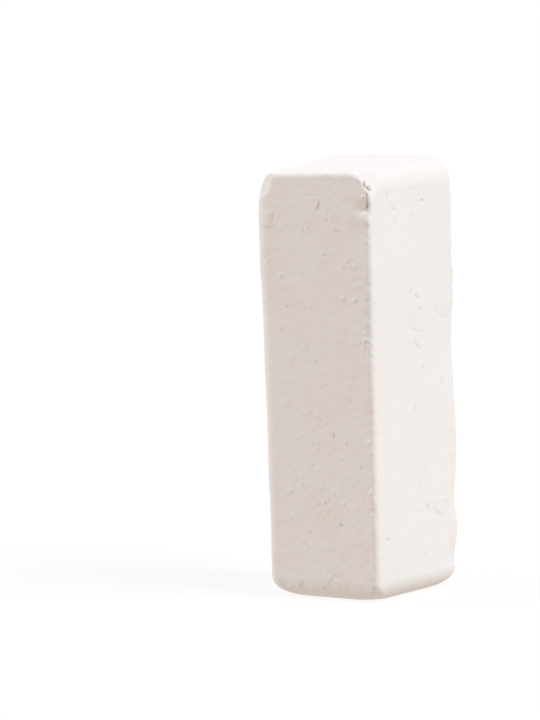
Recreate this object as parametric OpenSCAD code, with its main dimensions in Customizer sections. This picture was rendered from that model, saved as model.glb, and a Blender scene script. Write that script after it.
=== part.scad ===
// Grooming chalk block: one bar of cast chalk, nearly square in section, standing on its end.
// X runs along the front face to the right, Y runs to the back and Z runs up from the base.
// The bar is a loft: rings of points with four rounded corners, stacked from the base to the top.
// Its edges, its top face and its front right top corner are as uneven and worn as cast chalk is.

/* [Block] */
// Width of the front face at half height
block_w = 32.9; // [26:0.1:60]
// Depth from the front face to the back face at half height
block_d = 33.4; // [26:0.1:60]
// Height at the middle of the top face
block_h = 101; // [60:1:160]
// How much wider the bar is at the top than at the base
draft_w = 2.2; // [-2:0.1:3]
// How much deeper the bar is at the top than at the base
draft_d = -0.4; // [-2:0.1:3]
// Rise of the top face from its left side to its right side
top_rise_right = 1.1; // [-2:0.1:3]
// Rise of the top face from its front to its back
top_rise_back = 2; // [-2:0.1:3]

/* [Upright edges] */
// Radius of the front left edge at the base
front_left_base_r = 2.8; // [0.5:0.1:5]
// Radius of the front left edge at the top
front_left_top_r = 5; // [0.5:0.1:6]
// Radius of the front right edge at the base
front_right_base_r = 1.6; // [0.5:0.1:5]
// Radius of the front right edge at the top
front_right_top_r = 1.2; // [0.5:0.1:5]
// Radius of the back right edge at the base
back_right_base_r = 2; // [0.5:0.1:5]
// Radius of the back right edge at the top
back_right_top_r = 1; // [0.5:0.1:5]
// Radius of the back left edge
back_left_r = 2; // [0.5:0.1:5]

/* [Top rounding] */
// Reach of the front edge's rounding into the top face, at its left end
front_round_left = 1; // [0.5:0.1:6]
// The same at its right end
front_round_right = 1; // [0.5:0.1:6]
// Reach of the right edge's rounding into the top face, at its front end
right_round_front = 3; // [0.5:0.1:6]
// The same at its back end
right_round_back = 4.8; // [0.5:0.1:6]
// Reach of the back edge's rounding into the top face, at its right end
back_round_right = 4.7; // [0.5:0.1:6]
// The same at its left end
back_round_left = 1.6; // [0.5:0.1:6]
// Reach of the left edge's rounding into the top face, at its back end
left_round_back = 2.4; // [0.5:0.1:6]
// The same at its front end
left_round_front = 5.6; // [0.5:0.1:6]
// How many times further each rounding reaches down the bar than in
round_down_ratio = 1.5; // [1:0.1:2]

/* [Base rounding] */
// Reach of the rounding into the base
base_round_in = 4.5; // [0.5:0.1:6]
// Reach of the rounding up the bar
base_round_up = 4.7; // [0.5:0.1:9]
// Corner radius of the flat outline that the bar stands on
base_corner_r = 7; // [1:0.1:7]

/* [Unevenness] */
// Height of the low lumps that the mould leaves on every face
lump_h = 0.1; // [0:0.05:0.4]
// Swelling of the front left edge below the top
swell_h = 0.45; // [0:0.05:1]
// Height of the middle of that swelling above the base
swell_z = 80; // [40:1:90]
// Half length of that swelling
swell_len = 10; // [6:1:30]
// Depth of the upper hollow along the back right edge
upper_hollow_depth = 0.5; // [0:0.05:1.2]
// Height of the upper hollow above the base
upper_hollow_z = 55; // [20:1:80]
// Half length of the upper hollow
upper_hollow_len = 7; // [3:0.5:15]
// Depth of the lower hollow along the back right edge
lower_hollow_depth = 0.45; // [0:0.05:1.2]
// Height of the lower hollow above the base
lower_hollow_z = 21; // [15:1:80]
// Half length of the lower hollow
lower_hollow_len = 3.5; // [2:0.5:15]

/* [Worn corner] */
// Distance by which the front right top corner is pushed in
chip_depth = 2.3; // [0:0.1:3]
// Reach of that push around the corner
chip_reach = 4.6; // [3:0.1:6]
// Slope of that push, falling to the left
chip_slope = 51; // [0:1:90]
// Greatest depth of the dent in the front face under the corner
dent_depth = 1; // [0:0.05:1.5]
// Share of that depth at the dent's shallow upper left
dent_shallow = 0.15; // [0:0.05:1]
// Width of the dent
dent_w = 4.4; // [2:0.1:8]
// Height of the dent
dent_h = 4.4; // [2:0.1:8]
// Distance from the dent's middle to the front right edge
dent_from_edge = 2.2; // [2:0.1:8]
// Distance from the dent's middle down from the top corner
dent_below_top = 7.4; // [4:0.1:12]
// Height of the lip of pushed up chalk under the dent
lip_h = 0.45; // [0:0.05:0.8]
// Length of the lip
lip_len = 5.6; // [2:0.1:9]
// Thickness of the lip
lip_thick = 1.8; // [0.8:0.1:2.5]
// Distance from the dent's middle down to the lip's middle
lip_below_dent = 3; // [2:0.1:5]
// Slope of the lip, falling to the right
lip_slope = 14; // [0:1:30]

/* [Worn flat] */
// Depth of the flat worn on the front left top corner, from where the corner's faces would meet
flat_depth = 3.3; // [0:0.1:5]
// Turn of the flat from the front towards the left
flat_turn = 27; // [10:1:80]
// Turn of the flat upwards
flat_lift = 12; // [0:1:60]

/* [Hidden] */

chalk_white = [0.95, 0.93, 0.91];

// The upright edges in order around the bar, anticlockwise seen from above
front_right = 0;
back_right = 1;
front_left = 3;
side_x = [1, 1, -1, -1];
side_y = [-1, 1, 1, -1];
first_angle = [-90, 0, 90, 180];
edge_base_r = [front_right_base_r, back_right_base_r, back_left_r, front_left_base_r];
edge_top_r = [front_right_top_r, back_right_top_r, back_left_r, front_left_top_r];
// Rounding of the top edge that ends at each upright edge, and of the one that starts there
round_before = [front_round_right, right_round_back, back_round_left, left_round_front];
round_after = [right_round_front, back_round_right, left_round_back, front_round_left];
// Corner radius of the flat part of the top face, over the radius of the edge below it
top_corner_gain = 0.5;

// Steps of the loft: around one upright edge, along each face after its edge, and up the bar
arc_steps = [6, 6, 6, 9];
face_steps = [13, 8, 8, 23];
// Crowding of a face's columns towards its end, or towards its start if negative
face_crowding = [-0.45, 0, 0, 0.6];
round_steps = 7;
lower_wall_steps = 20;
upper_wall_steps = 19;
upper_wall_share = 0.15;
cap_rings = 3;

// Wavelengths of the low lumps
lump_pitch = [23, 31, 43];
// Distance over which a hollow or swelling fades out around its edge
edge_fade = 4;

function mix(a, b, share) = a + (b - a) * share;
function clamp01(v) = min(1, max(0, v));
function bell(distance, reach) = exp(-pow(distance / reach, 2));
function plateau(distance, reach) = exp(-pow(distance / reach, 4));
function next_edge(k) = (k + 1) % 4;

// Height of the top face's plane over a point across the bar
function top_plane_z(x, y) = block_h + x * top_rise_right / block_w + y * top_rise_back / block_d;
// A point of the level bar, with its height stretched so that the top falls on that plane
function tilted(p) = [p.x, p.y, p.z * top_plane_z(p.x, p.y) / block_h];

// A station is one ring of the loft: [angle in the base rounding, share of the wall, angle in the top one]
stations = concat(
    [for (i = [0:round_steps - 1]) [-90 + 90 * i / round_steps, 0, 0]],
    [for (i = [0:lower_wall_steps - 1]) [0, (1 - upper_wall_share) * i / lower_wall_steps, 0]],
    [for (i = [0:upper_wall_steps - 1]) [0, 1 - upper_wall_share * (1 - i / upper_wall_steps), 0]],
    [for (i = [0:round_steps]) [0, 1, 90 * i / round_steps]]
);

// A column is one line of points up the bar: [edge, angle of its normal, share of the face after the edge]
columns = [
    for (k = [0:3]) each concat(
        [for (i = [0:arc_steps[k]]) [k, first_angle[k] + 90 * i / arc_steps[k], 0]],
        [for (i = [1:face_steps[k] - 1]) [k, first_angle[k] + 90, crowded(i / face_steps[k], face_crowding[k])]]
    )
];
function crowded(share, crowding) = share * (1 + crowding * (1 - share));

function base_share(station) = 1 - cos(station[0]);
function top_share(station) = 1 - cos(station[2]);

// Reach of the top rounding where the normal of upright edge k has turned to an angle
function round_in(k, angle) = mix(round_before[k], round_after[k], (angle - first_angle[k]) / 90);

// Height of a station there, with the top still level
function edge_z(k, angle, station) =
    let (round_down = round_in(k, angle) * round_down_ratio)
    base_round_up * (1 + sin(station[0]))
    + station[1] * (block_h - round_down - base_round_up)
    + round_down * sin(station[2]);

// Corner radius of a station's outline at upright edge k
function edge_r(k, z, station) =
    let (wall_r = mix(edge_base_r[k], edge_top_r[k], z / block_h))
    mix(mix(wall_r, base_corner_r, base_share(station)), wall_r + top_corner_gain, top_share(station));

// Point of the smooth bar on the arc of upright edge k
function arc_point(k, angle, station) =
    let (
        z = edge_z(k, angle, station),
        r = edge_r(k, z, station),
        up = z / block_h - 0.5,
        inset = base_round_in * base_share(station) + round_in(k, angle) * top_share(station),
        half_w = (block_w + draft_w * up) / 2 - inset - r,
        half_d = (block_d + draft_d * up) / 2 - inset - r
    )
    [side_x[k] * half_w + r * cos(angle), side_y[k] * half_d + r * sin(angle), z];

// Point of the smooth bar in any column: on an arc, or on the straight line to the next arc
function smooth_point(column, station) =
    let (k = column[0], angle = column[1], share = column[2])
    tilted(
        share == 0
            ? arc_point(k, angle, station)
            : mix(arc_point(k, angle, station), arc_point(next_edge(k), first_angle[next_edge(k)], station), share)
    );

// Where the two faces beside an upright edge would meet, and a point's distance from there
function edge_line(k, z) =
    [side_x[k] * (block_w + draft_w * (z / block_h - 0.5)) / 2, side_y[k] * (block_d + draft_d * (z / block_h - 0.5)) / 2];
function off_edge(k, p) = norm([p.x, p.y] - edge_line(k, p.z));

// Low lumps over the whole bar
function lumps(p) =
    lump_h / 3 * (
        sin(360 * (p.x / lump_pitch[0] + p.z / lump_pitch[1]))
        + sin(360 * (p.y / lump_pitch[1] - p.z / lump_pitch[0]))
        + sin(360 * ((p.x - p.y) / lump_pitch[2] + p.z / lump_pitch[2]))
    );

// A long swelling or hollow along one upright edge
function along_edge(k, p, depth, z, half_length) =
    depth * bell(p.z - z, half_length) * bell(off_edge(k, p), edge_fade);

// The knocked corner at the front right of the top: points near it are pushed down and to the left
worn_corner = tilted(concat(edge_line(front_right, block_h), [block_h]));
chip_way = [-cos(chip_slope), 0, -sin(chip_slope)];
function chipped(p) = chip_way * chip_depth * bell(norm(p - worn_corner), chip_reach);

// The dent in the front face, deepest at its lower right, and the lip of chalk pushed up under it
dent_x = worn_corner.x - dent_from_edge;
dent_z = worn_corner.z - dent_below_top;
function on_front(normal_y) = clamp01(-normal_y);
function dent(p) =
    let (across = (p.x - dent_x) / dent_w, above = (p.z - dent_z) / dent_h)
    dent_depth * min(1, max(dent_shallow, 0.5 + across - above)) * plateau(2 * norm([across, above]), 1);
function lip(p) =
    let (
        across = p.x - dent_x,
        above = p.z - (dent_z - lip_below_dent),
        along = across * cos(lip_slope) - above * sin(lip_slope),
        off = across * sin(lip_slope) + above * cos(lip_slope)
    )
    lip_h * bell(off, lip_thick / 2) * plateau(along, lip_len / 2);

// Total height of the unevenness over the smooth bar, faded out towards the flat base
function uneven(p, normal) =
    clamp01(p.z / base_round_up) * (
        lumps(p)
        + along_edge(front_left, p, swell_h, swell_z, swell_len)
        - along_edge(back_right, p, upper_hollow_depth, upper_hollow_z, upper_hollow_len)
        - along_edge(back_right, p, lower_hollow_depth, lower_hollow_z, lower_hollow_len)
        + on_front(normal.y) * (lip(p) - dent(p))
    );

// The worn flat: what stands out beyond its plane is brought back to it
flat_corner = tilted(concat(edge_line(front_left, block_h), [block_h]));
flat_way = [-sin(flat_turn) * cos(flat_lift), -cos(flat_turn) * cos(flat_lift), sin(flat_lift)];
function flattened(p) = p - flat_way * max(0, (p - flat_corner) * flat_way + flat_depth);

function surface_point(column, station) =
    let (
        p = smooth_point(column, station),
        tilt = station[0] + station[2],
        normal = [cos(column[1]) * cos(tilt), sin(column[1]) * cos(tilt), sin(tilt)]
    )
    flattened(p + normal * uneven(p, normal) + chipped(p));

// Rings that close the top: the last ring shrunk towards the middle, with its own unevenness
top_ring = [for (column = columns) smooth_point(column, stations[len(stations) - 1])];
top_middle = [0, 0, block_h];
function cap_point(p, share) =
    let (q = mix(p, top_middle, share))
    flattened(q + [0, 0, lumps(q)] + chipped(q));

column_count = len(columns);
ring_count = len(stations) + cap_rings;
loft_points = concat(
    [for (station = stations) each [for (column = columns) surface_point(column, station)]],
    [for (i = [1:cap_rings]) each [for (p = top_ring) cap_point(p, i / (cap_rings + 1))]],
    [cap_point(top_middle, 0), [0, 0, 0]]
);
top_index = ring_count * column_count;
base_index = top_index + 1;

function at(ring, column) = ring * column_count + column % column_count;
loft_faces = concat(
    [
        for (ring = [0:ring_count - 2], c = [0:column_count - 1]) each
            [[at(ring, c), at(ring + 1, c), at(ring + 1, c + 1)], [at(ring, c), at(ring + 1, c + 1), at(ring, c + 1)]]
    ],
    [for (c = [0:column_count - 1]) [at(ring_count - 1, c), top_index, at(ring_count - 1, c + 1)]],
    [for (c = [0:column_count - 1]) [base_index, at(0, c), at(0, c + 1)]]
);

// The origin is under the middle of the bar's box
function box_middle(values) = (min(values) + max(values)) / 2;
middle_x = box_middle([for (p = loft_points) p.x]);
middle_y = box_middle([for (p = loft_points) p.y]);

module chalk_block() {
    color(chalk_white)
        translate([-middle_x, -middle_y, 0])
            polyhedron(points = loft_points, faces = loft_faces, convexity = 2);
}

chalk_block();
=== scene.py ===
"""The looks of a bar of grooming chalk: cast in a mould, knocked at one corner, pitted and powdery.

The bar is one closed surface. Its smooth form is the CAD's loft, worked out again on a finer grid.
Relief is then added along the surface's normals: lumps, crumbs, pits, gouges, scratches, a flake.
Shapes are in millimetres until the mesh is made. X is to the right, Y to the back and Z up.
"""
import math

import bpy
import numpy as np
from mathutils import Matrix, Vector


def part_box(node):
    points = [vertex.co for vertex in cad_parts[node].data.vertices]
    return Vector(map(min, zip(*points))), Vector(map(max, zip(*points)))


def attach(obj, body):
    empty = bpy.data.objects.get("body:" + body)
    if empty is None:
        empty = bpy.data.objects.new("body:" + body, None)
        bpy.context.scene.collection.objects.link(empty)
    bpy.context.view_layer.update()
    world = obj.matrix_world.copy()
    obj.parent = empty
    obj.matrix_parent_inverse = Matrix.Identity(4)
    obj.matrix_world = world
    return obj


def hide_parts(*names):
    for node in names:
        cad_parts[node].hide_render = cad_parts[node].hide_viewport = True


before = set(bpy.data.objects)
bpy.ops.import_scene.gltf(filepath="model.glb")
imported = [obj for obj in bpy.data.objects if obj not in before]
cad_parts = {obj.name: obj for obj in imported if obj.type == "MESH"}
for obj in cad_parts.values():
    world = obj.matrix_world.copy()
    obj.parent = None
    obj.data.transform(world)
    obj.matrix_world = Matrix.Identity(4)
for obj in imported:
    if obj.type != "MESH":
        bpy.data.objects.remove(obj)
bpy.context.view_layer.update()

MM = 0.001

# ---------------------------------------------------------------- the smooth bar, as the CAD has it

BAR_W, BAR_D, BAR_H = 32.9, 33.4, 101.0
DRAFT_W, DRAFT_D = 2.2, -0.4
TOP_RISE_RIGHT, TOP_RISE_BACK = 1.1, 2.0

# One value for each upright edge: front right, back right, back left, front left
FRONT_RIGHT, BACK_RIGHT, BACK_LEFT, FRONT_LEFT = range(4)
SIDE_X = np.array([1, 1, -1, -1])
SIDE_Y = np.array([-1, 1, 1, -1])
FIRST_ANGLE = np.array([-90, 0, 90, 180])
EDGE_BASE_R = np.array([1.6, 2.0, 2.0, 2.8])
EDGE_TOP_R = np.array([1.2, 1.0, 2.0, 5.0])
# How far each top edge is rounded in, at its two ends: before and after each upright edge.
# The front one is a little crisper here than in the CAD.
ROUND_BEFORE = np.array([0.75, 4.8, 1.6, 5.6])
ROUND_AFTER = np.array([3.0, 4.7, 2.4, 0.75])
ROUND_DOWN_RATIO = 1.5
TOP_CORNER_GAIN = 0.5
BASE_ROUND_IN, BASE_ROUND_UP, BASE_CORNER_R = 4.5, 4.7, 7.0

# Columns on each edge's arc and on the face after it, which crowd towards the face's start
# (below 0) or end; then rings up the bar, closer together in the upper share of the wall
ARC_STEPS = [10, 8, 6, 12]
FACE_STEPS = [80, 28, 28, 100]
CROWDING = [-0.3, -0.5, 0.5, 0.25]
BASE_ROUND_STEPS, LOWER_WALL_STEPS, UPPER_WALL_STEPS = 16, 246, 62
TOP_ROUND_STEPS, CAP_STEPS = 16, 12
UPPER_WALL_SHARE = 0.15


def mix(a, b, share):
    """The value a given share of the way from a to b."""
    return a + (b - a) * share


def bell(distance, reach):
    """A smooth hill of height 1 over distance 0, which has fallen to 1/e at the reach."""
    return np.exp(-((distance / reach) ** 2))


def sharp_bell(distance, reach):
    """A hill of height 1 with a flatter top and steeper sides than the bell."""
    return np.exp(-(distance / reach) ** 3)


def plateau(distance, reach):
    """A flat-topped hill of height 1 with steep sides at the reach."""
    return np.exp(-((distance / reach) ** 4))


def smooth_step(low, high, value):
    """0 up to low, 1 from high on and an S curve between. Low may also be the larger of the two."""
    t = np.clip((value - low) / (high - low), 0.0, 1.0)
    return t * t * (3.0 - 2.0 * t)


def columns_around():
    """Edge index, angle of the normal and share of the face after the edge, for every column."""
    edge, angle, share = [], [], []
    for k in range(4):
        turn = np.arange(ARC_STEPS[k] + 1) / ARC_STEPS[k]
        along = np.arange(1, FACE_STEPS[k]) / FACE_STEPS[k]
        along = along * (1 + CROWDING[k] * (1 - along))
        edge.append(np.full(len(turn) + len(along), k))
        angle.append(FIRST_ANGLE[k] + 90 * np.concatenate([turn, np.ones_like(along)]))
        share.append(np.concatenate([np.zeros_like(turn), along]))
    return np.concatenate(edge), np.concatenate(angle), np.concatenate(share)


def stations_up():
    """Angle in the base rounding, share of the wall and angle in the top rounding, ring by ring."""
    base = -90 + 90 * np.arange(BASE_ROUND_STEPS) / BASE_ROUND_STEPS
    lower = np.arange(LOWER_WALL_STEPS) / LOWER_WALL_STEPS * (1 - UPPER_WALL_SHARE)
    upper = 1 - UPPER_WALL_SHARE * (1 - np.arange(UPPER_WALL_STEPS) / UPPER_WALL_STEPS)
    wall = np.concatenate([lower, upper])
    top = 90 * np.arange(TOP_ROUND_STEPS + 1) / TOP_ROUND_STEPS
    base_angle = np.concatenate([base, 0 * wall, 0 * top])
    wall_share = np.concatenate([0 * base, wall, np.ones_like(top)])
    top_angle = np.concatenate([0 * base, 0 * wall, top])
    return np.radians(base_angle)[:, None], wall_share[:, None], np.radians(top_angle)[:, None]


def arc_points(edge, angle, station):
    """Rings by columns: each column lies on its edge's arc, where the normal has its angle."""
    base_angle, wall_share, top_angle = station
    base_share, top_share = 1 - np.cos(base_angle), 1 - np.cos(top_angle)
    round_in = mix(ROUND_BEFORE[edge], ROUND_AFTER[edge], (angle - FIRST_ANGLE[edge]) / 90)
    round_down = round_in * ROUND_DOWN_RATIO
    z = BASE_ROUND_UP * (1 + np.sin(base_angle)) + wall_share * (BAR_H - round_down - BASE_ROUND_UP)
    z = z + round_down * np.sin(top_angle)
    wall_r = mix(EDGE_BASE_R[edge], EDGE_TOP_R[edge], z / BAR_H)
    r = mix(mix(wall_r, BASE_CORNER_R, base_share), wall_r + TOP_CORNER_GAIN, top_share)
    inset = BASE_ROUND_IN * base_share + round_in * top_share
    up = z / BAR_H - 0.5
    x = SIDE_X[edge] * ((BAR_W + DRAFT_W * up) / 2 - inset - r) + r * np.cos(np.radians(angle))
    y = SIDE_Y[edge] * ((BAR_D + DRAFT_D * up) / 2 - inset - r) + r * np.sin(np.radians(angle))
    return np.stack([x, y, z], axis=-1)


def smooth_bar():
    """Points and normals of the smooth bar: arcs joined by straight faces, its top tilted last."""
    edge, angle, share = columns_around()
    station = stations_up()
    after = (edge + 1) % 4
    start = arc_points(edge, angle, station)
    end = arc_points(after, FIRST_ANGLE[after], station)
    points = tilted(mix(start, end, share[:, None]))
    tilt, turn = station[0] + station[2], np.radians(angle)
    level = np.cos(tilt)
    normals = [np.cos(turn) * level, np.sin(turn) * level, np.sin(tilt) + 0 * turn]
    return points, np.stack(normals, axis=-1)


def tilted(points):
    """Heights stretched so that the level top falls on a plane that rises to the right and back."""
    x, y, z = points[..., 0], points[..., 1], points[..., 2]
    plane = 1 + (x * TOP_RISE_RIGHT / BAR_W + y * TOP_RISE_BACK / BAR_D) / BAR_H
    return np.stack([x, y, z * plane], axis=-1)


# ---------------------------------------------------------------- relief


RIPPLE_WAVES = 20
RIPPLE_PITCH_SPREAD = (0.7, 1.5)


def ripple(points, pitch, seed):
    """Random smooth noise of about unit strength: the sum of plane waves in random directions."""
    random = np.random.default_rng(seed)
    ways = random.normal(size=(RIPPLE_WAVES, 3))
    ways /= np.linalg.norm(ways, axis=1)[:, None]
    rates = 2 * math.pi / (pitch * random.uniform(*RIPPLE_PITCH_SPREAD, RIPPLE_WAVES))
    phases = random.uniform(0, 2 * math.pi, RIPPLE_WAVES)
    total = np.zeros(points.shape[:-1])
    for way, rate, phase in zip(ways, rates, phases):
        total += np.sin(points @ (way * rate) + phase)
    return total * math.sqrt(2 / RIPPLE_WAVES)


def edge_line(k, z):
    """Where the faces beside upright edge k would meet at a height."""
    up = z / BAR_H - 0.5
    return SIDE_X[k] * (BAR_W + DRAFT_W * up) / 2, SIDE_Y[k] * (BAR_D + DRAFT_D * up) / 2


def off_edge(k, points):
    """Distance of each point from upright edge k, across the bar."""
    x, y = edge_line(k, points[..., 2])
    return np.hypot(points[..., 0] - x, points[..., 1] - y)


LUMP_H, LUMP_PITCH = 0.1, (23.0, 31.0, 43.0)
EDGE_FADE = 4.0
# Along an upright edge: edge, height of the swelling (below 0 a hollow), its middle, half length
EDGE_SWELLS = [
    (FRONT_LEFT, 0.45, 80.0, 10.0),
    (BACK_RIGHT, -0.5, 55.0, 7.0),
    (BACK_RIGHT, -0.45, 21.0, 3.5),
]
# The same in the fine relief: wear of the back right edge
EDGE_WEAR = [
    (BACK_RIGHT, 0.3, 90.0, 6.0), (BACK_RIGHT, 0.35, 72.0, 6.0), (BACK_RIGHT, 0.4, 37.0, 8.0),
    (BACK_RIGHT, -0.85, 6.8, 3.2),
]


def lumps(p):
    """Low lumps that the mould leaves: three long waves across each other."""
    first, second, third = LUMP_PITCH
    x, y, z = p[..., 0], p[..., 1], p[..., 2]
    turns = x / first + z / second, y / second - z / first, (x - y) / third + z / third
    return LUMP_H / len(turns) * sum(np.sin(2 * math.pi * turn) for turn in turns)


def swells_along_edges(p, swells):
    """Long swellings and hollows along the upright edges."""
    return sum(height * bell(p[..., 2] - middle, half) * bell(off_edge(edge, p), EDGE_FADE)
               for edge, height, middle, half in swells)


# The way across each face that bears marks, and the way it faces
FRONT, RIGHT = ((1, 0, 0), (0, -1, 0)), ((0, 1, 0), (1, 0, 0))
# How far a normal must point the face's way for its marks to start and to be full
FACE_START, FACE_FULL = 0.2, 0.8
# The hollow beside a crumb: its place and size in radii of the crumb, its depth in heights
HOLLOW_RIGHT, HOLLOW_BELOW, HOLLOW_SIZE, HOLLOW_DEPTH = 1.2, 0.6, 0.8, 0.35
# The ends of a groove: the share of its length over which it deepens, and its depth at the tip
GROOVE_TAPER, GROOVE_TIP = 0.2, 0.35
# The rims of a flake: how it wavers (size, rate and phase), how soft it is, how long its top fades
FLAKE_WAVERS = [(0.25, 2.1, 0), (0.15, 5.3, 1)]
FLAKE_RIM, FLAKE_FADE = 0.25, 1.5


class Face:
    """One face of the bar as a flat sheet: a is across it, b is up it, and on is 1 on the face."""

    def __init__(self, points, normals, across, normal):
        self.a = points @ np.array(across, float)
        self.b = points[..., 2]
        self.on = smooth_step(FACE_START, FACE_FULL, normals @ np.array(normal, float))

    def pit(self, a, b, radius):
        """1 inside a round hole, with steep walls."""
        return plateau(np.hypot(self.a - a, self.b - b), radius) * self.on

    def crumb(self, a, b, radius, height):
        """A stuck crumb with a hollow at its lower right, where it has torn the skin."""
        top = bell(np.hypot(self.a - a, self.b - b), radius)
        right, below = HOLLOW_RIGHT * radius, HOLLOW_BELOW * radius
        hollow = bell(np.hypot(self.a - a - right, self.b - b + below), HOLLOW_SIZE * radius)
        return height * (top - HOLLOW_DEPTH * hollow) * self.on

    def groove(self, line, width):
        """1 in the middle of a groove along a line of (a, b) points, less at its sides and ends."""
        line = np.array(line, float)
        steps = np.diff(line, axis=0)
        lengths = np.hypot(*steps.T)
        runs = np.concatenate([[0], np.cumsum(lengths)])
        near, where = np.full(self.a.shape, np.inf), np.zeros(self.a.shape)
        for start, step, length, run in zip(line, steps, lengths, runs):
            right, up = self.a - start[0], self.b - start[1]
            share = np.clip((right * step[0] + up * step[1]) / (length ** 2), 0, 1)
            off = np.hypot(right - share * step[0], up - share * step[1])
            closer = off < near
            near = np.where(closer, off, near)
            where = np.where(closer, (run + share * length) / runs[-1], where)
        ends = smooth_step(0, GROOVE_TAPER, where) * smooth_step(0, GROOVE_TAPER, 1 - where)
        return bell(near, width / 2) * mix(GROOVE_TIP, 1, ends) * self.on

    def flake(self, right, bottom, top, height):
        """A raised flake of skin: its right and lower rims are sharp, its upper rim fades out."""
        ragged = sum(size * np.sin(rate * self.b + phase) for size, rate, phase in FLAKE_WAVERS)
        inside = smooth_step(FLAKE_RIM, -FLAKE_RIM, self.a - right - ragged)
        inside = inside * smooth_step(-FLAKE_RIM, FLAKE_RIM, self.b - bottom)
        return height * inside * smooth_step(top, top - FLAKE_FADE, self.b) * self.on

    def patch(self, a, b, half_a, half_b):
        """1 inside an oval patch, fading out at its rim."""
        return bell(np.hypot((self.a - a) / half_a, (self.b - b) / half_b), 1.0) * self.on


# Small holes on the front face, left by air in the cast: across from the middle, up, radius, depth
FRONT_PITS = [
    (4.9, 90.7, 0.3, 0.12), (-7.4, 68.6, 0.25, 0.28), (-2.3, 68.6, 0.27, 0.14),
    (-2.0, 59.4, 0.45, 0.08), (0.3, 56.2, 0.27, 0.2), (9.8, 47.0, 0.26, 0.15),
    (-13.1, 32.7, 0.3, 0.1), (9.9, 27.5, 0.24, 0.15), (11.1, 28.4, 0.24, 0.15),
    (-0.1, 22.3, 0.32, 0.15), (0.5, 21.3, 0.3, 0.12), (2.7, 20.9, 0.32, 0.15),
    (-9.2, 19.9, 0.27, 0.15), (1.1, 19.0, 0.32, 0.15), (6.0, 18.0, 0.27, 0.4),
    (-2.9, 15.8, 0.27, 0.18), (14.0, 5.6, 0.27, 0.2), (-2.2, 43.6, 0.35, 0.08),
    (-1.2, 44.1, 0.35, 0.1), (-0.2, 42.7, 0.32, 0.1), (1.1, 42.2, 0.32, 0.1),
    (1.1, 40.9, 0.35, 0.1), (2.4, 41.3, 0.32, 0.1),
]
# Crumbs stuck to the front face: across, up, radius, height
FRONT_CRUMBS = [
    (6.6, 87.4, 0.8, 0.12), (6.0, 89.6, 0.4, 0.14), (-2.6, 86.9, 0.38, 0.2),
    (-8.9, 86.9, 0.3, 0.14), (4.4, 82.5, 0.32, 0.22), (3.5, 81.6, 0.3, 0.2),
    (4.6, 81.0, 0.28, 0.16), (2.9, 80.1, 0.3, 0.18), (8.6, 80.5, 0.3, 0.1), (10.6, 80.1, 0.3, 0.14),
    (11.1, 78.9, 0.34, 0.24), (12.4, 78.4, 0.3, 0.18), (9.0, 78.4, 0.3, 0.16),
    (10.3, 77.5, 0.3, 0.1), (-12.2, 79.5, 0.38, 0.18), (-11.8, 78.1, 0.38, 0.2),
    (-9.0, 75.9, 0.4, 0.25), (-2.5, 77.0, 0.36, 0.2), (8.8, 71.2, 0.42, 0.28),
    (11.9, 70.8, 0.38, 0.34), (14.3, 61.6, 0.42, 0.34), (12.2, 62.0, 0.3, 0.14),
    (11.1, 62.4, 0.3, 0.12), (13.1, 61.5, 0.3, 0.18), (-7.2, 56.5, 0.32, 0.14),
    (-4.4, 38.9, 0.38, 0.18), (8.0, 37.4, 0.36, 0.2), (14.7, 37.8, 0.4, 0.34),
    (6.8, 33.7, 0.42, 0.12), (-4.6, 29.8, 0.36, 0.22), (-5.0, 27.3, 0.38, 0.24),
    (-8.4, 25.0, 0.38, 0.26), (14.7, 26.2, 0.36, 0.3), (0.6, 26.5, 0.35, 0.18),
    (3.4, 26.0, 0.34, 0.18), (4.3, 25.6, 0.34, 0.2), (5.7, 25.6, 0.32, 0.18),
    (1.2, 23.3, 0.38, 0.2), (7.0, 23.3, 0.36, 0.22), (-8.4, 19.4, 0.34, 0.14),
    (-4.8, 13.9, 0.36, 0.22), (-4.1, 11.7, 0.34, 0.2), (-6.6, 11.2, 0.3, 0.14),
    (1.3, 8.4, 0.34, 0.2), (-7.5, 2.7, 0.4, 0.18), (-6.7, 2.4, 0.4, 0.16), (15.2, 94.8, 0.5, 0.36),
]
# Gouges and scratches: a line of (across, up) points, width, depth
FRONT_GROOVES = [
    ([(2.85, 93.7), (2.6, 92.6), (2.3, 91.4)], 0.4, 0.22),
    ([(-0.3, 94.9), (1.1, 94.8), (2.3, 95.0)], 0.45, 0.08),
    ([(0.1, 88.3), (-0.7, 86.7)], 0.5, 0.14),
    ([(7.2, 86.4), (8.4, 86.6)], 0.5, 0.12),
    ([(-10.4, 91.4), (-10.8, 89.8), (-10.9, 88.9), (-11.3, 87.7), (-13.2, 86.8)], 0.4, 0.13),
    ([(-9.8, 62.9), (-8.5, 62.9)], 0.45, 0.1),
    ([(-5.9, 56.0), (-6.7, 54.6)], 0.4, 0.09),
    ([(4.9, 39.6), (4.7, 38.2)], 0.42, 0.2),
    ([(-13.7, 8.3), (-12.5, 8.4)], 0.5, 0.12),
    ([(3.4, 6.0), (5.1, 5.9)], 0.5, 0.14),
    ([(1.8, 4.3), (0.9, 3.1), (0.3, 2.4)], 0.6, 0.09),
]
# The raised flake near the front left edge: its right and lower rims, upper end and height
FRONT_FLAKE = (-10.9, 87.2, 91.5, 0.16)
# Crumbled patches: across, up, half width, half height, roughness
FRONT_PATCHES = [
    (4.8, 81.4, 2.2, 2.4, 0.07), (10.4, 79.2, 2.6, 2.0, 0.07), (2.0, 20.8, 2.6, 3.4, 0.1),
    (0.0, 37.0, 5.0, 3.5, 0.06), (-6.5, 3.0, 3.5, 1.2, 0.18), (2.5, 4.5, 2.5, 1.6, 0.14),
    (2.0, 27.0, 5.0, 6.0, 0.05), (14.8, 62.0, 1.2, 4.0, 0.1),
]
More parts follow.
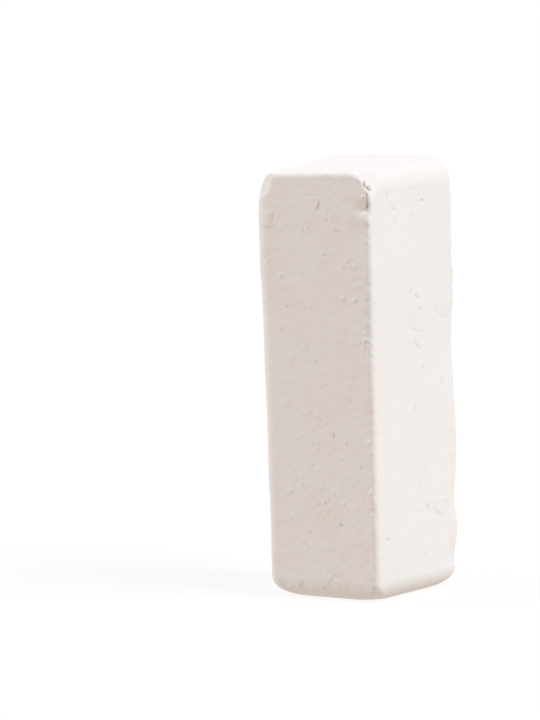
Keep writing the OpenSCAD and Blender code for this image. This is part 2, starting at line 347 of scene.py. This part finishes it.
# Faint warm stains: across, up, half width, half height, strength
FRONT_STAINS = [
    (13.6, 93.3, 2.0, 1.8, 0.45), (3.2, 42.5, 1.6, 3.0, 0.8), (5.0, 38.0, 1.5, 2.5, 0.5),
    (2.0, 20.8, 2.4, 2.0, 0.7), (14.5, 49.0, 1.5, 6.0, 0.5), (-2.0, 45.0, 2.0, 3.0, 0.3),
    (10.0, 12.0, 4.0, 4.0, 0.2),
]
# The same on the right face: across from the middle towards the back, up
RIGHT_PITS = [
    (4.5, 92.1, 0.32, 0.4), (4.8, 96.0, 0.3, 0.15), (0.0, 89.1, 0.3, 0.12),
    (-0.7, 71.4, 0.34, 0.18), (2.8, 66.9, 0.32, 0.25), (-1.2, 64.5, 0.3, 0.15),
    (8.0, 55.4, 0.3, 0.12), (3.4, 53.2, 0.32, 0.18), (-0.5, 50.6, 0.32, 0.2),
    (10.5, 49.3, 0.36, 0.15), (10.7, 48.6, 0.36, 0.15), (11.0, 45.9, 0.32, 0.15),
    (0.6, 36.6, 0.32, 0.15), (-6.5, 33.5, 0.28, 0.12), (-12.9, 29.5, 0.3, 0.15),
    (1.3, 25.4, 0.36, 0.25), (-4.9, 25.9, 0.28, 0.12), (3.6, 20.5, 0.42, 0.16),
    (3.9, 19.8, 0.42, 0.18), (0.2, 19.6, 0.32, 0.15), (-12.6, 14.6, 0.32, 0.28),
    (-11.5, 15.1, 0.28, 0.1), (-3.8, 12.4, 0.28, 0.1), (2.1, 9.2, 0.3, 0.15),
    (11.8, 20.0, 0.38, 0.2),
]
RIGHT_GROOVES = [
    ([(-9.5, 95.7), (-9.3, 94.1)], 0.5, 0.15),
    ([(-8.0, 92.7), (-6.8, 90.9), (-5.4, 91.0)], 0.5, 0.14),
    ([(-6.1, 88.8), (-7.1, 87.5)], 0.5, 0.16),
    ([(-1.9, 95.1), (2.0, 95.2)], 0.4, 0.08),
    ([(0.8, 70.4), (2.1, 69.5)], 0.5, 0.25),
    ([(8.3, 67.2), (9.0, 66.2), (9.8, 65.2), (12.0, 63.8), (13.0, 64.2)], 0.45, 0.12),
    ([(-2.3, 63.6), (0.2, 62.3), (1.9, 61.8), (4.7, 61.3)], 0.45, 0.1),
    ([(0.2, 59.4), (2.5, 57.3)], 0.5, 0.2),
    ([(-0.5, 44.8), (-0.1, 42.8)], 0.5, 0.15),
    ([(6.4, 20.7), (6.9, 18.6), (8.7, 17.7), (10.4, 16.8)], 0.5, 0.13),
]
RIGHT_PATCHES = [
    (0.5, 71.0, 2.0, 2.5, 0.05), (11.0, 64.0, 3.0, 4.0, 0.05), (8.0, 19.0, 3.0, 3.0, 0.05),
]

# The knocked corner at the front right of the top: a crumbled loss, a dent under it and a lip below
CHIP_DEPTH, CHIP_REACH, CHIP_SLOPE = 1.8, 4.0, math.radians(32)
DENT_DEPTH, DENT_SHALLOW_SHARE, DENT_W, DENT_H = 0.65, 0.15, 4.4, 4.4
DENT_FROM_EDGE, DENT_BELOW_TOP = 2.2, 7.4
LIP_H, LIP_LEN, LIP_THICK, LIP_BELOW_DENT, LIP_SLOPE = 0.31, 10.0, 2.7, 3.5, math.radians(12)
LIP_FULL_FROM = 1.0
# Small deep holes around the corner and down the edge under it: place, radius and depth
EDGE_HOLES = [
    ((15.1, -15.6, 98.2), 0.34, 0.6), ((15.3, -15.9, 97.75), 0.34, 0.7),
    ((15.5, -16.1, 97.3), 0.28, 0.6), ((16.0, -15.3, 97.0), 0.3, 0.5),
    ((16.2, -15.4, 96.75), 0.5, 1.0), ((16.35, -15.25, 96.5), 0.4, 0.7),
    ((14.9, -16.6, 97.65), 0.25, 0.12), ((16.0, -16.5, 95.7), 0.25, 0.2),
    ((16.1, -16.5, 95.4), 0.25, 0.2), ((16.15, -16.45, 95.0), 0.25, 0.2),
    ((16.15, -16.4, 94.5), 0.25, 0.2), ((16.0, -16.3, 93.9), 0.3, 0.22),
    ((15.95, -16.15, 93.3), 0.35, 0.26), ((15.9, -16.1, 92.8), 0.42, 0.34),
    ((15.85, -16.1, 92.2), 0.42, 0.36), ((15.95, -16.3, 91.6), 0.35, 0.26),
    ((15.3, -16.2, 91.8), 0.5, 0.1), ((14.6, -16.25, 91.7), 0.45, 0.08),
    ((16.45, -16.0, 93.2), 0.22, 0.14), ((16.5, -16.0, 92.6), 0.22, 0.16),
    ((16.7, -15.95, 91.9), 0.22, 0.16), ((16.7, -15.95, 91.2), 0.22, 0.16),
    ((16.75, -16.0, 90.5), 0.22, 0.14), ((15.4, -16.7, 70.7), 0.55, 0.1),
    ((15.2, -16.7, 67.8), 0.6, 0.1), ((14.5, -16.7, 68.0), 0.45, 0.06),
    ((15.3, -16.6, 64.7), 0.6, 0.1), ((15.4, -16.6, 63.5), 0.5, 0.08),
    ((15.6, -16.7, 74.8), 0.35, 0.12), ((15.6, -16.7, 75.8), 0.3, 0.1),
    ((15.0, -16.7, 72.9), 0.3, 0.1), ((14.6, -16.7, 59.6), 0.4, 0.08),
    ((14.6, -16.5, 3.8), 0.4, 0.07), ((13.9, -16.2, 2.6), 0.4, 0.07),
    ((15.8, 11.5, 3.5), 0.4, 0.12),
]
# The worn flat at the front left of the top: its depth from the corner, its turn left and up
FLAT_DEPTH, FLAT_TURN, FLAT_LIFT = 3.5, math.radians(32), math.radians(8)
FLAT_SOFTNESS = 0.12
# The lower end of the worn flat: its height above the base at the middle of the bar, how much it
# rises for each millimetre to the right, and its softness
FLAT_END_Z, FLAT_END_RISE, FLAT_END_SOFTNESS = 100.9, 0.45, 1.0


def top_corner(k):
    """The point where the two faces beside upright edge k would meet the top."""
    x, y = edge_line(k, BAR_H)
    return tilted(np.array([x, y, BAR_H]))


def scoop(front):
    """The dent, shallow at its upper left and deep at its lower right, and the lip under it."""
    corner = top_corner(FRONT_RIGHT)
    across = front.a - (corner[0] - DENT_FROM_EDGE)
    above = front.b - (corner[2] - DENT_BELOW_TOP)
    slant = np.clip(0.5 + across / DENT_W - above / DENT_H, DENT_SHALLOW_SHARE, 1)
    dent = DENT_DEPTH * slant * plateau(np.hypot(across / (DENT_W / 2), above / (DENT_H / 2)), 1)
    above = above + LIP_BELOW_DENT
    along = across * math.cos(LIP_SLOPE) - above * math.sin(LIP_SLOPE)
    off = across * math.sin(LIP_SLOPE) + above * math.cos(LIP_SLOPE)
    fade = bell(np.minimum(along - LIP_FULL_FROM, 0), LIP_LEN / 2)
    lip = LIP_H * bell(off, LIP_THICK / 2) * fade
    return (lip - dent) * front.on


def chipped(p):
    """How far the knocked corner has lost: points near it are moved down and to the left."""
    push = CHIP_DEPTH * sharp_bell(np.linalg.norm(p - top_corner(FRONT_RIGHT), axis=-1), CHIP_REACH)
    return push[..., None] * [-math.cos(CHIP_SLOPE), 0, -math.sin(CHIP_SLOPE)]


def flattened(p):
    """What stands out beyond the worn flat is brought back to it, with a softened crease."""
    level = math.cos(FLAT_LIFT)
    left, front = math.sin(FLAT_TURN) * level, math.cos(FLAT_TURN) * level
    way = np.array([-left, -front, math.sin(FLAT_LIFT)])
    beyond = (p - top_corner(FRONT_LEFT)) @ way + FLAT_DEPTH
    cut = FLAT_SOFTNESS * np.logaddexp(0, beyond / FLAT_SOFTNESS)
    above_end = p[..., 2] - FLAT_END_Z - FLAT_END_RISE * p[..., 0]
    cut = cut * smooth_step(-FLAT_END_SOFTNESS, FLAT_END_SOFTNESS, above_end)
    return p - cut[..., None] * way


def shaped_bar():
    """The bar with its large unevenness, and the normals of its smooth form."""
    points, normals = smooth_bar()
    share = np.arange(1, CAP_STEPS)[:, None, None] / CAP_STEPS
    cap = mix(points[-1], np.array([0, 0, BAR_H]), share)
    points = np.concatenate([points, cap])
    normals = np.concatenate([normals, np.broadcast_to([0.0, 0.0, 1.0], cap.shape)])
    dented = scoop(Face(points, normals, *FRONT))
    height = (lumps(points) + swells_along_edges(points, EDGE_SWELLS) + dented) * off_base(points)
    return flattened(points + normals * height[..., None] + chipped(points)), normals


def off_base(p):
    """0 at the base, where the bar stands flat, and 1 from the middle of the base's rounding up."""
    return smooth_step(0, 1, p[..., 2] / BASE_ROUND_UP * 2)


# The noise values above which grains and spots stand out
GRAIN_FLOOR, SPOT_FLOOR = 0.3, 1.7


def crumbling(p, pitch, seed):
    """Sharp little grains that stand out of a flat ground: noise with its lower part cut off."""
    return np.maximum(ripple(p, pitch, seed) - GRAIN_FLOOR, 0)


def scattered(p, pitch, seed):
    """Small round spots, up to 1 high: the highest crests of a noise, the rest cut off."""
    return np.clip(ripple(p, pitch, seed) - SPOT_FLOOR, 0, 1)


# The skin: kind of noise, height, pitch and seed; off the front it has only a share of its height
SKIN_LAYERS = [
    (ripple, 0.02, 3.6, 1), (ripple, 0.014, 1.9, 2),
    (scattered, 0.06, 2.0, 4), (scattered, -0.08, 2.2, 5),
]
SKIN_SHARE_OFF_FRONT = 0.42
# The waver of the worn back right edge: height, pitch, seed and reach
WAVER_H, WAVER_PITCH, WAVER_SEED, WAVER_REACH = 0.07, 5.0, 6, 2.5
# The crumbled grain: pitch, seed and the level that is taken off it
CRUMBLE_PITCH, CRUMBLE_SEED, CRUMBLE_LEVEL = 1.3, 3, 0.4
# Crumbling along upright edges: edge, roughness and reach; the same for the base
ROUGH_EDGES = [(BACK_RIGHT, 0.06, 2.0), (FRONT_RIGHT, 0.05, 1.5)]
BASE_ROUGHNESS, BASE_ROUGH_REACH = 0.03, 3.0
# The roughness at which the colour is fully that of crumbs, and the depth at which a hollow gets
# its full painted shade
FULLY_CRUMBLED, FULL_SHADE_DEPTH = 0.15, 0.7


def hollows_of(p, front, right):
    """The pits, grooves and holes, each as its depth and its shape from 0 to 1."""
    hollows = [(depth, plateau(np.linalg.norm(p - place, axis=-1), radius))
               for place, radius, depth in EDGE_HOLES]
    for face, pits, grooves in (
        (front, FRONT_PITS, FRONT_GROOVES),
        (right, RIGHT_PITS, RIGHT_GROOVES),
    ):
        hollows += [(depth, face.pit(a, b, radius)) for a, b, radius, depth in pits]
        hollows += [(depth, face.groove(line, width)) for line, width, depth in grooves]
    return hollows


def roughness_of(p, front, right):
    """How rough the skin is: the sum of the crumbled patches, edges and base."""
    rough = sum(face.patch(a, b, half_a, half_b) * strength
                for face, patches in ((front, FRONT_PATCHES), (right, RIGHT_PATCHES))
                for a, b, half_a, half_b, strength in patches)
    for edge, strength, reach in ROUGH_EDGES:
        rough = rough + strength * bell(off_edge(edge, p), reach)
    return rough + BASE_ROUGHNESS * bell(p[..., 2], BASE_ROUGH_REACH)


def relief(p, n):
    """Fine height over the shaped bar, how crumbled and stained it is, and how much painted shade
    its hollows get (0 to 1).
    """
    front, right = Face(p, n, *FRONT), Face(p, n, *RIGHT)
    height = sum(size * noise(p, pitch, seed) for noise, size, pitch, seed in SKIN_LAYERS)
    height = height * mix(SKIN_SHARE_OFF_FRONT, 1, front.on) + front.flake(*FRONT_FLAKE)
    waver = WAVER_H * ripple(p, WAVER_PITCH, WAVER_SEED)
    height += swells_along_edges(p, EDGE_WEAR) + waver * bell(off_edge(BACK_RIGHT, p), WAVER_REACH)
    height += sum(front.crumb(*crumb) for crumb in FRONT_CRUMBS)
    hollows = hollows_of(p, front, right)
    height -= sum(depth * shape for depth, shape in hollows)
    rough = roughness_of(p, front, right)
    height += rough * (crumbling(p, CRUMBLE_PITCH, CRUMBLE_SEED) - CRUMBLE_LEVEL)
    values = {
        "crumbled": rough / FULLY_CRUMBLED,
        "stained": sum(front.patch(a, b, half_a, half_b) * strength
                       for a, b, half_a, half_b, strength in FRONT_STAINS),
        # Painted shade: the deeper a pit, groove or hole, the more its colour is darkened, for the
        # shade deep inside it
        "hollow_painted_shade": sum(min(depth / FULL_SHADE_DEPTH, 1) * shape for depth, shape in hollows),
    }
    return height * off_base(p), {name: np.clip(value, 0, 1) for name, value in values.items()}


# ---------------------------------------------------------------- the mesh


def fitted_to_cad(points, form):
    """Points in the CAD's frame: the box of the bar without its fine relief becomes the node's."""
    low, high = (np.array(corner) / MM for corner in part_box("chalk_block"))
    own_low, own_high = form.min(axis=(0, 1)), form.max(axis=(0, 1))
    return low + (points - own_low) * (high - low) / (own_high - own_low)


def bar_surface():
    """Every ring of the bar, from the base's rim to the top's middle, and its colour's values."""
    points, normals = shaped_bar()
    height, values = relief(points, normals)
    return fitted_to_cad(points + normals * height[..., None], points), values


def quad_faces(rings, columns):
    """Corner numbers of the faces between neighbouring rings and columns, facing outward."""
    ring, column = np.meshgrid(np.arange(rings - 1), np.arange(columns), indexing="ij")
    beside = (column + 1) % columns
    below, above = ring * columns, (ring + 1) * columns
    corners = [below + column, below + beside, above + beside, above + column]
    return np.stack(corners, axis=-1).reshape(-1, 4)


def fan_faces(rim, middle):
    """Triangles from a rim of corner numbers to one middle corner."""
    return np.stack([rim, np.roll(rim, -1), np.full(len(rim), middle)], axis=-1)


def mesh_object(name, points, faces, material):
    """A mesh object of points in metres and of arrays of faces, smooth shaded."""
    mesh = bpy.data.meshes.new(name)
    mesh.from_pydata(points.tolist(), [], [face for group in faces for face in group.tolist()])
    mesh.polygons.foreach_set("use_smooth", np.ones(len(mesh.polygons), bool))
    mesh.materials.append(material)
    mesh.update()
    piece = bpy.data.objects.new(name, mesh)
    bpy.context.scene.collection.objects.link(piece)
    return piece


def chalk_bar(material):
    """The whole bar: walls and roundings as a grid, closed at the top's middle and at the base."""
    rings, values = bar_surface()
    ring_count, column_count = rings.shape[:2]
    middles = [rings[0].mean(axis=0), rings[-1].mean(axis=0)]
    points = np.concatenate([rings.reshape(-1, 3), middles]) * MM
    first_rim = np.arange(column_count)
    last_rim = first_rim + (ring_count - 1) * column_count
    base_index, top_index = len(points) - 2, len(points) - 1
    faces = [
        quad_faces(ring_count, column_count),
        fan_faces(last_rim, top_index),
        fan_faces(first_rim[::-1], base_index),
    ]
    bar = mesh_object("cast_chalk_bar", points, faces, material)
    for name, value in values.items():
        attribute = bar.data.attributes.new(name, "FLOAT", "POINT")
        value = np.concatenate([value.ravel(), np.zeros(len(middles))])
        attribute.data.foreach_set("value", value.astype(np.float32))
    return bar


# ---------------------------------------------------------------- shader maths


class Signal:
    """A socket of a material's tree, so that shader maths reads as Python."""

    def __init__(self, finish, socket):
        self.finish, self.socket = finish, socket

    def _math(self, operation, first, second):
        return self.finish.node("ShaderNodeMath", {"operation": operation}, {0: first, 1: second})

    def __add__(self, other):
        return self._math("ADD", self, other)

    def __sub__(self, other):
        return self._math("SUBTRACT", self, other)

    def __rsub__(self, other):
        return self._math("SUBTRACT", other, self)

    def __mul__(self, other):
        return self._math("MULTIPLY", self, other)

    __radd__, __rmul__ = __add__, __mul__


# The colour sockets of a Mix node, which share their names with its other sockets
MIX_FACTOR, MIX_FIRST, MIX_SECOND, MIX_RESULT = 0, 6, 7, 2


class Finish:
    """A material or world tree, and the one way in which nodes are added to it."""

    def __init__(self, owner):
        owner.use_nodes = True
        self.tree = owner.node_tree
        self.tree.nodes.clear()

    def node(self, kind, settings=None, inputs=None, output=0):
        """Adds a node, sets its settings first and its sockets after, and gives one output."""
        node = self.tree.nodes.new(kind)
        for key, value in (settings or {}).items():
            if key == "stops":
                self._set_stops(node.color_ramp, value)
            else:
                setattr(node, key, value)
        for key, value in (inputs or {}).items():
            if isinstance(value, Signal):
                self.tree.links.new(value.socket, node.inputs[key])
            else:
                node.inputs[key].default_value = value
        return Signal(self, node.outputs[output]) if node.outputs else None

    @staticmethod
    def _set_stops(ramp, stops):
        for element, (place, value) in zip(ramp.elements, stops):
            element.position = place
            element.color = (value, value, value, 1)

    def blend(self, factor, first, second):
        """A colour a given share of the way between two colours."""
        sockets = {MIX_FACTOR: factor, MIX_FIRST: first, MIX_SECOND: second}
        return self.node("ShaderNodeMix", {"data_type": "RGBA"}, sockets, output=MIX_RESULT)

    def noise(self, place, scale, detail, roughness=0.5):
        """Soft noise from 0 to 1 over a place in metres."""
        sockets = {"Vector": place, "Scale": scale, "Detail": detail, "Roughness": roughness}
        return self.node("ShaderNodeTexNoise", {}, sockets)

    def mask(self, place, scale, detail, low, high):
        """Noise spread so that it is 0 below one of its values and 1 above another."""
        noise = self.noise(place, scale, detail)
        return self.node("ShaderNodeValToRGB", {"stops": ((low, 0.0), (high, 1.0))}, {0: noise})

    def larger(self, first, second):
        """The larger of two values."""
        return self.node("ShaderNodeMath", {"operation": "MAXIMUM"}, {0: first, 1: second})

    def surface(self, kind, shader):
        """Ends the tree with an output node for its surface."""
        self.node(kind, {}, {0: shader})


CHALK = (0.925, 0.912, 0.895, 1)
CHALK_SHADE = (0.88, 0.85, 0.815, 1)
CHALK_PALE = (0.95, 0.945, 0.935, 1)
CHALK_STAIN = (0.93, 0.85, 0.78, 1)
# Painted shade: the dark brown laid into pits, grooves and holes for the shade deep inside them
HOLLOW_PAINTED_SHADE = (0.42, 0.31, 0.25, 1)
# Masks of noise: scale for each metre, detail, and the noise values where each starts and is full
CLOUDS, SPECKS = (90, 3.0, 0.35, 0.7), (1500, 1.0, 0.66, 0.74)
DUST, STAINS = (700, 3.0, 0.5, 0.75), (900, 2.0, 0.42, 0.62)
# Shares of the darker chalk in clouds and specks, and of the painted shade in hollows
CLOUD_SHARE, SPECK_SHARE, HOLLOW_SHADE_SHARE = 0.35, 0.25, 0.9
DUST_SHARE, DUST_SHARE_MORE_ON_CRUMBS = 0.1, 0.5
# The bump's noises: scale for each metre, detail and roughness; then their heights
POWDER, GRAIN = (3000, 2.0, 0.6), (1000, 3.0, 0.6)
POWDER_H, GRAIN_H = 0.3, 0.7
BUMP_STRENGTH, BUMP_REACH = 0.5, 0.0002
ROUGHNESS, ROUGHNESS_LOST_TO_DUST, SPECULAR = 0.93, 0.08, 0.25


def chalk_material():
    """Dry white chalk: dull, faintly mottled, dusted pale where it is crumbled, with a grain, and
    with painted shade darkening its pits, grooves and holes.
    """
    material = bpy.data.materials.new("powdery_chalk")
    finish = Finish(material)
    place = finish.node("ShaderNodeTexCoord", output="Object")
    crumbled, stained, hollow_painted_shade = (
        finish.node("ShaderNodeAttribute", {"attribute_name": name}, output="Fac")
        for name in ("crumbled", "stained", "hollow_painted_shade"))
    dust = finish.mask(place, *DUST)
    dusted = dust * (crumbled * DUST_SHARE_MORE_ON_CRUMBS + DUST_SHARE)
    colour = finish.blend(finish.mask(place, *CLOUDS) * CLOUD_SHARE, CHALK, CHALK_SHADE)
    colour = finish.blend(finish.mask(place, *SPECKS) * SPECK_SHARE, colour, CHALK_SHADE)
    colour = finish.blend(dusted, colour, CHALK_PALE)
    colour = finish.blend(finish.mask(place, *STAINS) * stained, colour, CHALK_STAIN)
    # Painted shade in the pits, grooves and holes
    colour = finish.blend(hollow_painted_shade * HOLLOW_SHADE_SHARE, colour, HOLLOW_PAINTED_SHADE)
    powder, grain = finish.noise(place, *POWDER), finish.noise(place, *GRAIN)
    bump = finish.node("ShaderNodeBump", {}, {
        "Strength": BUMP_STRENGTH, "Distance": BUMP_REACH,
        "Height": powder * POWDER_H + grain * (crumbled + GRAIN_H),
    })
    shader = finish.node("ShaderNodeBsdfPrincipled", {}, {
        "Base Color": colour, "Roughness": ROUGHNESS - dust * ROUGHNESS_LOST_TO_DUST,
        "Normal": bump, "Specular IOR Level": SPECULAR,
    })
    finish.surface("ShaderNodeOutputMaterial", shader)
    return material


# ---------------------------------------------------------------- studio

FLOOR_REACH = 8.0
WHITE = (1, 1, 1, 1)
FLOOR_SHADE = (0.675, 0.60, 0.532, 1)
FLOOR_GLOW_SHARE = 0.85
AMBIENT = (0.47, 0.407, 0.408, 1)
# The lamps: name, way to it from the bar, brightness of a white face turned to it, the angle
# across it in degrees, and colour
LAMPS = [
    ("key", (0.70, 0.05, 0.71), 0.652, 30, (0.88, 0.96, 1.0)),
    ("left_fill", (-0.8, -0.35, 0.46), 0.42, 12, (0.94, 0.93, 0.92)),
]


def seen_directly(finish):
    """1 for rays from the camera, and for those that metal or glass would pass on."""
    camera_ray, glossy_ray, transmission_ray = (
        finish.node("ShaderNodeLightPath", output=name)
        for name in ("Is Camera Ray", "Is Glossy Ray", "Is Transmission Ray"))
    return finish.larger(finish.larger(camera_ray, glossy_ray), transmission_ray)


def floor_material():
    """White to the eye with its shadow kept faint, and a duller glow to what it lights."""
    material = bpy.data.materials.new("pale_floor")
    finish = Finish(material)
    seen = seen_directly(finish)
    matte = finish.node("ShaderNodeBsdfDiffuse", {}, {"Color": WHITE})
    glow = finish.node("ShaderNodeEmission", {}, {"Color": finish.blend(seen, FLOOR_SHADE, WHITE)})
    glow_share = 1 - seen * (1 - FLOOR_GLOW_SHARE)
    shader = finish.node("ShaderNodeMixShader", {}, {0: glow_share, 1: matte, 2: glow})
    finish.surface("ShaderNodeOutputMaterial", shader)
    return material


def floor():
    """A wide flat sheet under the bar."""
    corners = np.array([(-1, -1, 0), (1, -1, 0), (1, 1, 0), (-1, 1, 0)]) * FLOOR_REACH
    sheet = mesh_object("studio_floor", corners, [np.array([[0, 1, 2, 3]])], floor_material())


def world_light():
    """Even light from all round, and plain white where the camera sees past the floor."""
    world = bpy.data.worlds.new("studio")
    bpy.context.scene.world = world
    finish = Finish(world)
    colour = finish.blend(seen_directly(finish), AMBIENT, WHITE)
    background = finish.node("ShaderNodeBackground", {}, {"Color": colour})
    finish.surface("ShaderNodeOutputWorld", background)


def sun(name, towards, strength, degrees, colour):
    """A soft distant lamp: its power is pi times how bright it makes a white face turned to it."""
    lamp = bpy.data.lights.new(name, "SUN")
    lamp.energy, lamp.angle, lamp.color = strength * math.pi, math.radians(degrees), colour
    holder = bpy.data.objects.new(name, lamp)
    holder.rotation_mode = "QUATERNION"
    holder.rotation_quaternion = Vector(towards).to_track_quat("Z", "Y")
    bpy.context.scene.collection.objects.link(holder)


# The camera: turned to the right of the front face, looking a little down, from well back
LENS, SENSOR, IMAGE_LONG_SIDE = 275.0, 36.0, 720
FAR_CLIP = 100.0
CAMERA_TURN, CAMERA_LIFT, CAMERA_ROLL = math.radians(36.69), math.radians(6.79), math.radians(2.1)
PIXELS_PER_MM = 4.26
AIM = np.array([0.02, 0.11, BAR_H / 2])
AIM_RIGHT_OF_MIDDLE, AIM_ABOVE_MIDDLE = 20.62, -3.99


def camera():
    """The camera's axes from its turn, lift and roll, its place from where its scale holds."""
    turn, lift, roll = CAMERA_TURN, CAMERA_LIFT, CAMERA_ROLL
    level = math.cos(lift)
    back = np.array([math.sin(turn) * level, -math.cos(turn) * level, math.sin(lift)])
    level_right = np.array([math.cos(turn), math.sin(turn), 0])
    level_up = np.cross(back, level_right)
    right = level_right * math.cos(roll) - level_up * math.sin(roll)
    up = level_right * math.sin(roll) + level_up * math.cos(roll)
    distance = LENS / SENSOR * IMAGE_LONG_SIDE / PIXELS_PER_MM
    place = AIM + back * distance - right * AIM_RIGHT_OF_MIDDLE - up * AIM_ABOVE_MIDDLE
    view = bpy.data.cameras.new("camera")
    view.lens, view.sensor_width, view.clip_end = LENS, SENSOR, FAR_CLIP
    holder = bpy.data.objects.new("camera", view)
    rows = [[*axes, at] for *axes, at in zip(right, up, back, place * MM)]
    holder.matrix_world = Matrix(rows + [[0, 0, 0, 1]])
    bpy.context.scene.collection.objects.link(holder)
    bpy.context.scene.camera = holder


bpy.context.scene.view_settings.view_transform = "Standard"
camera()
floor()
world_light()
for lamp in LAMPS:
    sun(*lamp)

bar = chalk_bar(chalk_material())
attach(bar, "root")
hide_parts("chalk_block")
